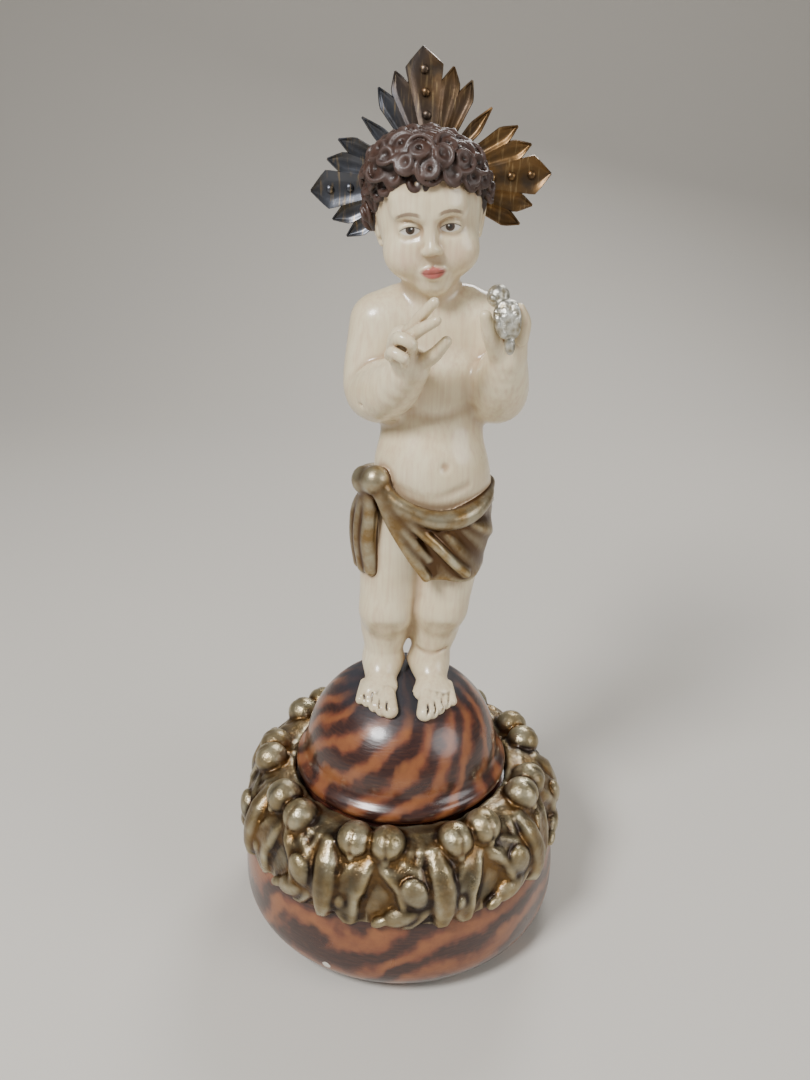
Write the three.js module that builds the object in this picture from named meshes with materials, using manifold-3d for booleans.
// A carved child figure in ivory finish, 360 mm tall with its halo, on a turned and gilded base.
//
// Frame: millimetres, +Z up, the figure faces -Y, its own left hand is on +X.
// The origin is the centre of the base's underside.
//
// Six pieces: a turned bun base, a carved and gilded garland round it, a turned mound that sits
// inside the garland, the figure with its curls and loincloth carved in one, a small silvered
// bird in its left hand, and a thin embossed halo of rays behind the head.

import * as THREE from "three";
import { mergeVertices } from "three/addons/utils/BufferGeometryUtils.js";
import Module from "manifold-3d";

const wasm = await Module();
wasm.setup();

// Driving sizes of the base
const GAP = 0.35;
const BUN_RADIUS = 71.5;
const BUN_FOOT_RADIUS = 62;
const BUN_EQUATOR_Z = 17;
const BUN_SHOULDER_Z = 50;
const BUN_TOP_Z = 66;
const MOUND_LIP_RADIUS = 46.4;
const MOUND_LIP_Z = 73.5;
const MOUND_RADIUS = 42.5;
const MOUND_TOP_Z = 116.5;
const ROUND_STEPS = 30;

// Driving sizes of the garland
const CLUSTERS = 9;
const FIRST_CLUSTER_DEG = -11;
const WREATH_TOP = [51.5, 70];
const WREATH_CREST = [61.5, 70];
const WREATH_SIDE = [71, 55];
const WREATH_LOW = [71.2, 40];
const FRUIT_RADIUS = 7;
const FRUIT_RING_RADIUS = 58;
const FRUIT_RING_Z = 72;

// Driving sizes of the figure, soles to crown
const SOLE_Z = 115;
const HEAD_CENTRE = [6, -3, 304];
const HEAD_NOD_DEG = 10;
const HEAD_LEAN_DEG = -6;
const FRINGE_CURLS = 6;

// Driving sizes of the halo, in its own upright plane
const HALO_CENTRE = [7, 25.2, 313];
const HALO_LEAN_DEG = 4.8;
const HALO_THICKNESS = 0.9;
const HALO_HUB_RADIUS = 15;
const FAN_TIP_RADIUS = 45.5;

const rad = THREE.MathUtils.degToRad;
const vec = (p) => new THREE.Vector3(...p);

// A closed three.js geometry as a solid that can be joined and cut.
function solid(geometry) {
  const g = geometry.clone();
  g.deleteAttribute("normal");
  g.deleteAttribute("uv");
  const merged = mergeVertices(g, 1e-4);
  return new wasm.Manifold(
    new wasm.Mesh({
      numProp: 3,
      vertProperties: merged.attributes.position.array,
      triVerts: new Uint32Array(merged.index.array),
    }),
  );
}

const join = (solids) => solids.reduce((all, next) => all.add(next));

// A solid as a named mesh with its own material.
function piece(name, made, look) {
  const mesh = made.getMesh();
  const stride = mesh.numProp;
  const positions = new Float32Array(mesh.numVert * 3);
  for (let i = 0; i < mesh.numVert; i++)
    positions.set(mesh.vertProperties.subarray(i * stride, i * stride + 3), i * 3);
  const geometry = new THREE.BufferGeometry();
  geometry.setAttribute("position", new THREE.BufferAttribute(positions, 3));
  geometry.setIndex(new THREE.BufferAttribute(mesh.triVerts, 1));
  geometry.computeVertexNormals();
  const made3d = new THREE.Mesh(geometry, new THREE.MeshStandardMaterial(look));
  made3d.name = name;
  return made3d;
}

// A body of revolution about +Z from a profile of [radius, z] points, bottom to top.
function turned(profile, steps = ROUND_STEPS) {
  const points = profile.map(([r, z]) => new THREE.Vector2(r, z));
  return new THREE.LatheGeometry(points, steps).rotateX(Math.PI / 2);
}

// A superellipse arc of [radius, z] points from one corner of its box to the opposite one.
function bulge(centre, radius, height, fromDeg, toDeg, steps, power = 2) {
  const points = [];
  for (let i = 0; i <= steps; i++) {
    const a = rad(fromDeg + ((toDeg - fromDeg) * i) / steps);
    const c = Math.sign(Math.cos(a)) * Math.abs(Math.cos(a)) ** (2 / power);
    const s = Math.sign(Math.sin(a)) * Math.abs(Math.sin(a)) ** (2 / power);
    points.push([centre[0] + radius * c, centre[1] + height * s]);
  }
  return points;
}

// A stub with round ends of two radii, from one point to another.
function limb(from, to, r0, r1, sides = 10, rings = 1) {
  const a = vec(from);
  const axis = vec(to).sub(a);
  const length = axis.length();
  const lean = Math.asin(THREE.MathUtils.clamp((r0 - r1) / length, -0.98, 0.98));
  const profile = [];
  for (let i = 0; i <= rings; i++) {
    const t = -Math.PI / 2 + ((lean + Math.PI / 2) * i) / rings;
    profile.push(new THREE.Vector2(i ? r0 * Math.cos(t) : 0, r0 * Math.sin(t)));
  }
  for (let i = 0; i <= rings; i++) {
    const t = lean + ((Math.PI / 2 - lean) * i) / rings;
    profile.push(new THREE.Vector2(i < rings ? r1 * Math.cos(t) : 0, length + r1 * Math.sin(t)));
  }
  const turn = new THREE.Quaternion().setFromUnitVectors(
    new THREE.Vector3(0, 1, 0),
    axis.normalize(),
  );
  const g = new THREE.LatheGeometry(profile, sides).applyQuaternion(turn);
  return solid(g.translate(a.x, a.y, a.z));
}

// Stubs joined end to end along points, with a radius at each point.
function chain(points, radii, sides = 8, rings = 1) {
  const stubs = points
    .slice(1)
    .map((p, i) => limb(points[i], p, radii[i], radii[i + 1], sides, rings));
  return join(stubs);
}

// An ellipsoid, turned by degrees about X, then Y, then Z.
function blob(centre, radii, turnDeg = [0, 0, 0], across = 10, down = 7) {
  const g = new THREE.SphereGeometry(1, across, down).rotateX(Math.PI / 2);
  g.scale(...radii);
  const [x, y, z] = turnDeg.map(rad);
  g.rotateX(x).rotateY(y).rotateZ(z);
  return solid(g.translate(...centre));
}

// The turned bun with a flat underside.
function bunProfile(grow = 0) {
  return [
    [0, -grow],
    [BUN_FOOT_RADIUS + grow, -grow],
    ...bulge([BUN_FOOT_RADIUS, BUN_EQUATOR_Z], BUN_RADIUS - BUN_FOOT_RADIUS + grow, 16, -75, 0, 3),
    ...bulge([46, BUN_EQUATOR_Z], BUN_RADIUS - 46 + grow, BUN_SHOULDER_Z - 14, 8, 78, 4, 2.6),
    [47 + grow, BUN_TOP_Z - 8 + grow],
    [47 + grow, BUN_TOP_Z + grow],
    [0, BUN_TOP_Z + grow],
  ];
}

// The turned mound with its rolled lip, domed top and flat underside.
function moundProfile(grow = 0) {
  const underside = BUN_TOP_Z + GAP - grow;
  return [
    [0, underside],
    [MOUND_LIP_RADIUS - 4 + grow, underside],
    ...bulge([MOUND_LIP_RADIUS - 3.6, MOUND_LIP_Z], 3.6 + grow, 3.8 + grow, -70, 60, 3),
    ...bulge(
      [0, MOUND_LIP_Z + 2],
      MOUND_RADIUS + grow,
      MOUND_TOP_Z - MOUND_LIP_Z - 2 + grow,
      4,
      84,
      6,
      2.1,
    ),
    [0, MOUND_TOP_Z + grow],
  ];
}

// A point over the garland's bed: along runs from the inner top edge, 0, to the low edge, 1,
// aside is an arc length round the base and lift stands off the bed.
const bedCurve = new THREE.CatmullRomCurve3(
  [WREATH_TOP, WREATH_CREST, WREATH_SIDE, WREATH_LOW].map(([r, z]) => new THREE.Vector3(r, 0, z)),
);
function onBed(azimuthDeg, along, aside, lift) {
  const at = THREE.MathUtils.clamp(along, 0, 1);
  const p = bedCurve.getPoint(at);
  const t = bedCurve.getTangent(at);
  const past = (along - at) * bedCurve.getLength();
  const r = p.x + t.x * past - t.z * lift;
  const z = p.z + t.z * past + t.x * lift;
  const a = rad(azimuthDeg) + aside / Math.max(r, 40);
  return [r * Math.sin(a), -r * Math.cos(a), z];
}

// A carved leaf on the bed: its rib runs from one [along, aside] point to another with a bow
// to one side, and its back is sunk in the bed.
function leaf(azimuthDeg, from, to, bow, width, height, across = 2, steps = 3) {
  const rows = [];
  for (let i = 0; i <= steps; i++) {
    const t = i / steps;
    const along = from[0] + (to[0] - from[0]) * t;
    const aside = from[1] + (to[1] - from[1]) * t + bow * Math.sin(Math.PI * t);
    const half = (width / 2) * Math.sin(Math.PI * (0.12 + 0.86 * t)) ** 0.75;
    const rise = height * (0.45 + 0.55 * Math.sin(Math.PI * t));
    const row = [];
    for (let j = 0; j <= across; j++) {
      const s = (2 * j) / across - 1;
      row.push(onBed(azimuthDeg, along, aside + half * s, rise * (1 - 0.45 * s * s)));
    }
    for (let j = across; j >= 0; j--) {
      const s = (2 * j) / across - 1;
      row.push(onBed(azimuthDeg, along, aside + half * 0.9 * s, -2));
    }
    rows.push(row);
  }
  return solid(loft(rows));
}

// A closed skin over rings of points, all with the same count, with flat ends.
function loft(rows) {
  const ring = rows[0].length;
  const positions = rows.flat(2);
  const index = [];
  for (let i = 0; i + 1 < rows.length; i++)
    for (let j = 0; j < ring; j++) {
      const a = i * ring + j;
      const b = i * ring + ((j + 1) % ring);
      index.push(a, a + ring, b, b, a + ring, b + ring);
    }
  for (const [row, flip] of [
    [0, false],
    [rows.length - 1, true],
  ]) {
    const centre = positions.length / 3;
    const mid = rows[row].reduce((s, p) => [s[0] + p[0], s[1] + p[1], s[2] + p[2]], [0, 0, 0]);
    positions.push(...mid.map((v) => v / ring));
    for (let j = 0; j < ring; j++) {
      const a = row * ring + j;
      const b = row * ring + ((j + 1) % ring);
      index.push(centre, ...(flip ? [b, a] : [a, b]));
    }
  }
  const g = new THREE.BufferGeometry();
  g.setAttribute("position", new THREE.BufferAttribute(new Float32Array(positions), 3));
  g.setIndex(index);
  return g;
}

// The garland: pairs of fruit over pods and curling leaves, on a ring that hugs the base.
function garland() {
  const bed = [
    [WREATH_TOP[0] - 3.5, WREATH_TOP[1] - 1],
    ...[0, 0.45, 1].map((t) => {
      const p = bedCurve.getPoint(t);
      return [p.x, p.z];
    }),
    [WREATH_LOW[0] - 8, WREATH_LOW[1]],
    [50, BUN_TOP_Z - 14],
  ].reverse();
  const forms = [solid(turned([...bed, bed[0]]))];
  for (let k = 0; k < CLUSTERS; k++) {
    const at = FIRST_CLUSTER_DEG + (360 / CLUSTERS) * k;
    const vary = Math.sin(2.1 * k);
    for (const side of [-1, 1]) {
      const a = rad(at + side * 6.3);
      forms.push(
        blob(
          [
            FRUIT_RING_RADIUS * Math.sin(a),
            -FRUIT_RING_RADIUS * Math.cos(a),
            FRUIT_RING_Z + side * vary,
          ],
          [FRUIT_RADIUS, FRUIT_RADIUS - 0.5, FRUIT_RADIUS],
          [0, 0, at],
          6,
          4,
        ),
      );
    }
    forms.push(leaf(at - 20, [0.22, vary], [1.0, -vary], 1.5 * vary, 12, 4));
    forms.push(leaf(at, [0.4, 2], [1.03, 8], 4, 12, 3.2));
  }
  return join(forms)
    .subtract(solid(turned(bunProfile(GAP))))
    .subtract(solid(turned(moundProfile(GAP))));
}

// A form given in the head's own frame, nodded forward and leaned, then set in place.
const headTurn = new THREE.Euler(rad(HEAD_NOD_DEG), rad(HEAD_LEAN_DEG), 0, "YXZ");
function onHead([x, y, z]) {
  const p = new THREE.Vector3(x, y, z).applyEuler(headTurn);
  return [p.x + HEAD_CENTRE[0], p.y + HEAD_CENTRE[1], p.z + HEAD_CENTRE[2]];
}
function headBlob(centre, radii, across = 10, down = 7) {
  const g = new THREE.SphereGeometry(1, across, down).rotateX(Math.PI / 2);
  g.scale(...radii);
  g.translate(...centre).applyMatrix4(new THREE.Matrix4().makeRotationFromEuler(headTurn));
  return solid(g.translate(...HEAD_CENTRE));
}

// The head on a child's even proportions, with a cap of curls.
function head() {
  const forms = [
    headBlob([0, 2, 2], [19, 20, 20], 10, 7),
    headBlob([0, -5, -9], [16.5, 14.5, 17.5], 12, 9),
    headBlob([0, -12.5, -21.5], [6.5, 6, 5.2], 6, 5),
    headBlob([0, -19.6, -7.5], [2.6, 2.6, 2.6], 6, 4),
    headBlob([0, 5, 10], [22, 23, 19.5], 12, 8),
    headBlob([-18.8, 3.5, -6.5], [3.4, 7.5, 9], 6, 5),
    headBlob([18.8, 3.5, -6.5], [3.4, 7.5, 9], 6, 5),
  ];
  for (let i = 0; i < FRINGE_CURLS; i++) {
    const a = (2 * Math.PI * (i + 0.5)) / FRINGE_CURLS;
    forms.push(
      headBlob([20.5 * Math.sin(a), 4.5 - 21.5 * Math.cos(a), 15.5], [5, 5, 5], 6, 4),
    );
  }
  return forms;
}

// The trunk: a round belly over the hips, a soft chest and a short neck.
function trunk() {
  return [
    blob([8, -1, 190], [22, 17.5, 17]),
    blob([9.5, -4.5, 212], [22.4, 18.4, 21], [0, 0, 0], 12, 8),
    blob([9.5, -2, 241], [22, 16.5, 24], [0, 0, 0], 12, 8),
    limb([-6, 1, 264.5], [25, 1, 265], 11, 11, 10),
    limb([8.5, 1, 266], [7.5, -2, 284], 11, 10, 10),
  ];
}

// Both arms: the elbows hang beside the waist and the forearms rise to the chest.
function arms() {
  return [
    chain(
      [
        [-11, 1, 264.5],
        [-12.5, -3, 241],
        [-6, -20, 245],
        [1.5, -31, 255],
      ],
      [12, 12.3, 10.6, 6.6],
      9,
    ),
    blob([-2, -35.5, 262.5], [7.6, 4.8, 8.4], [0, -14, 0], 8, 6),
    chain([[0.5, -36.5, 268], [8, -44, 278.5]], [3, 2], 5),
    chain([[-1.2, -37.5, 265], [8.6, -46, 273]], [3, 2], 5),
    limb([-3.2, -42.5, 266], [1, -44.5, 264.5], 3, 2.4, 5),
    limb([-5.6, -41.5, 261.5], [-1, -43.5, 259.5], 2.8, 2.2, 5),
    limb([4.5, -34, 257.5], [12.5, -41.5, 266], 3.8, 2.2, 5),
    chain(
      [
        [29.3, 1, 264.5],
        [32.6, -4, 242],
        [33.5, -15, 247],
        [34.2, -23, 257],
      ],
      [12, 12.1, 10.6, 7.6],
      9,
    ),
    blob([35, -27, 264], [6.6, 5.6, 8], [0, 0, 0], 8, 6),
    chain([[30.5, -29, 260], [27, -34, 267], [25.2, -36.5, 273.5]], [4.2, 3.3, 2.5], 5),
    ...[0, 1, 2, 3].map((i) =>
      limb([38.6 - 1.1 * i, -31 + 3 * i, 267], [36.8 - 1.6 * i, -33.5 + 2.9 * i, 276], 2.9, 2, 5),
    ),
  ];
}

// One leg with its knee, calf and foot: side is -1 for the figure's right.
function leg(hip, knee, calf, ankle, heel, ball, bigToe, littleToe) {
  const toes = [0, 1, 2, 3, 4].map((i) => {
    const t = i / 4;
    const tip = bigToe.map((v, n) => v + (littleToe[n] - v) * t);
    tip[1] -= 2.2 * Math.sin(Math.PI * Math.min(1, t + 0.25));
    const root = [tip[0] * 0.75 + ball[0] * 0.25, tip[1] + 9, tip[2] + 4.5];
    return limb(root, tip, 3.4 - 0.9 * t, 3.7 - 1.5 * t, 5);
  });
  return [
    chain([hip, knee, calf, ankle], [15.2, 11.8, 11, 8], 9),
    chain([[ankle[0], ankle[1], ankle[2] - 3], heel], [7.8, 7], 8),
    chain([[ankle[0], ankle[1] - 3, ankle[2] - 3], ball], [7.4, 6.4], 8),
    limb([ball[0] - 3.4, ball[1], ball[2]], [ball[0] + 3.4, ball[1], ball[2]], 5.4, 5.4, 7),
    ...toes,
  ];
}

function legs() {
  return [
    ...leg(
      [-3.2, 0, 186],
      [-6.6, -4.5, 150],
      [-7.4, -1, 138],
      [-8.6, 0.5, 124],
      [-8.4, 6, 118],
      [-9.4, -13.5, 114],
      [-4.6, -23.5, 110.5],
      [-17.4, -15, 111],
    ),
    ...leg(
      [18.6, 0, 186],
      [15.4, -3.5, 151],
      [13, 0, 138],
      [11.2, 0.5, 124],
      [9.6, 6, 118],
      [13, -13.5, 114],
      [10, -24.5, 109.5],
      [21.4, -16.5, 110.5],
    ),
  ];
}

// The loincloth: a wrap cut by two slanting planes, rolled along its upper edge, knotted on the
// figure's right hip, with folds that fan down from the knot and an end that hangs.
function loincloth() {
  const wrap = blob([7.6, -0.5, 189], [28, 22.4, 34], [0, 0, 0], 14, 9);
  const block = (centre, turnDeg) => {
    const g = new THREE.BoxGeometry(120, 120, 60).translate(0, 0, 30);
    g.rotateX(rad(turnDeg[0])).rotateY(rad(turnDeg[1]));
    return solid(g.translate(...centre));
  };
  const cut = wrap
    .subtract(block([8, 0, 203], [6, 2]))
    .subtract(block([8, 0, 170], [180 - 4, 14]));
  const knot = [-12, -18, 209];
  const fold = (points, radii) => chain([knot, ...points], radii, 5);
  return [
    cut,
    blob(knot, [6.4, 6.2, 6.6], [0, 0, 0], 8, 6),
    fold([[-2, -22.5, 200], [14, -24.5, 193.5], [28, -17.5, 197], [34.5, -4, 203]], [3, 3.4, 3.6, 3.4, 2.6]),
    fold([[-5, -23, 194], [6, -24, 180], [13, -22, 168]], [3, 3.4, 3.4, 2.6]),
    fold([[-2, -23, 196], [12, -24.5, 184], [27, -19, 172]], [2.6, 3, 3.2, 3]),
    fold([[-15.5, -14, 196], [-17, -11, 183], [-16, -9, 172]], [4.4, 5, 5.2, 4.6]),
    blob([-17, 2, 190], [5, 12, 19], [0, 0, 0], 8, 6),
    blob([0, -15, 192], [15, 8.5, 15], [0, 0, 0], 8, 5),
  ];
}

function figure() {
  return join([...trunk(), ...head(), ...arms(), ...legs(), ...loincloth()]).subtract(
    solid(turned(moundProfile(GAP))),
  );
}

// The small bird: a crouched body between thumb and fingers, with its head turned.
function bird(hand) {
  return join([
    blob([29.6, -33.5, 278], [5.2, 4.8, 6.4], [0, 8, 0], 9, 6),
    blob([33.2, -37.5, 271], [4.3, 4.4, 6.8], [8, -10, 0], 9, 6),
    limb([33.6, -34.8, 279.6], [35.4, -37.4, 280], 1.8, 0.7, 8),
    limb([33.4, -36.6, 266], [33.6, -36.2, 262], 2.6, 1.8, 8),
  ]).subtract(hand);
}

// One fan of the halo as polar corners: a gem-tipped ray between two pairs of pointed rays.
const FAN = [
  [13, 40],
  [20.6, 32],
  [37, 28],
  [33.6, 21.5],
  [39.4, 17.5],
  [36.6, 11.2],
  [41, 9.6],
];
function haloOutline() {
  const polar = [];
  for (const axis of [0, 90, 180]) {
    const low = FAN.map(([r, a]) => [r, axis - a]);
    const high = [...FAN].reverse().map(([r, a]) => [r, axis + a]);
    polar.push(...low, [FAN_TIP_RADIUS, axis], ...high);
    if (axis === 180) continue;
    const spike = axis + 45;
    polar.push([19, spike - 8], [32, spike - 2], [32.8, spike], [32, spike + 2], [19, spike + 8]);
  }
  for (let a = 230; a <= 310; a += 16) polar.push([HALO_HUB_RADIUS, a]);
  return polar.map(([r, a]) => new THREE.Vector2(r * Math.cos(rad(a)), r * Math.sin(rad(a))));
}

// The halo: a thin plate with raised ribs along its rays and bosses on the long ones.
function halo() {
  const plate = new THREE.ExtrudeGeometry(new THREE.Shape(haloOutline()), {
    depth: HALO_THICKNESS,
    bevelEnabled: false,
  });
  const forms = [solid(plate)];
  for (const axis of [0, 90, 180])
    for (const r of [23, 30, 38]) {
      const a = rad(axis);
      forms.push(
        blob([r * Math.cos(a), r * Math.sin(a), HALO_THICKNESS], [1.5, 1.5, 1], [0, 0, 0], 6, 4),
      );
    }
  const flat = join(forms);
  const upright = new THREE.Matrix4()
    .makeTranslation(...HALO_CENTRE)
    .multiply(new THREE.Matrix4().makeRotationY(rad(-HALO_LEAN_DEG)))
    .multiply(new THREE.Matrix4().makeRotationX(Math.PI / 2));
  return flat.transform(upright.elements);
}

const IVORY = { color: 0xd9d3bd, roughness: 0.35, metalness: 0 };
const GILT = { color: 0x8a7440, roughness: 0.38, metalness: 0.9 };
const STAINED_WOOD = { color: 0x6b3320, roughness: 0.35, metalness: 0 };
const SILVER = { color: 0x9a9a8c, roughness: 0.3, metalness: 0.95 };
const HALO_METAL = { color: 0x6b665c, roughness: 0.35, metalness: 0.9 };

const child = figure();
const rays = halo();
const group = new THREE.Group();
group.add(piece("bun_base", solid(turned(bunProfile())), STAINED_WOOD));
group.add(piece("garland", garland(), GILT));
group.add(piece("mound", solid(turned(moundProfile())), STAINED_WOOD));
group.add(piece("figure", child, IVORY));
group.add(piece("held_bird", bird(child), SILVER));
group.add(piece("halo", rays, HALO_METAL));

export default group;
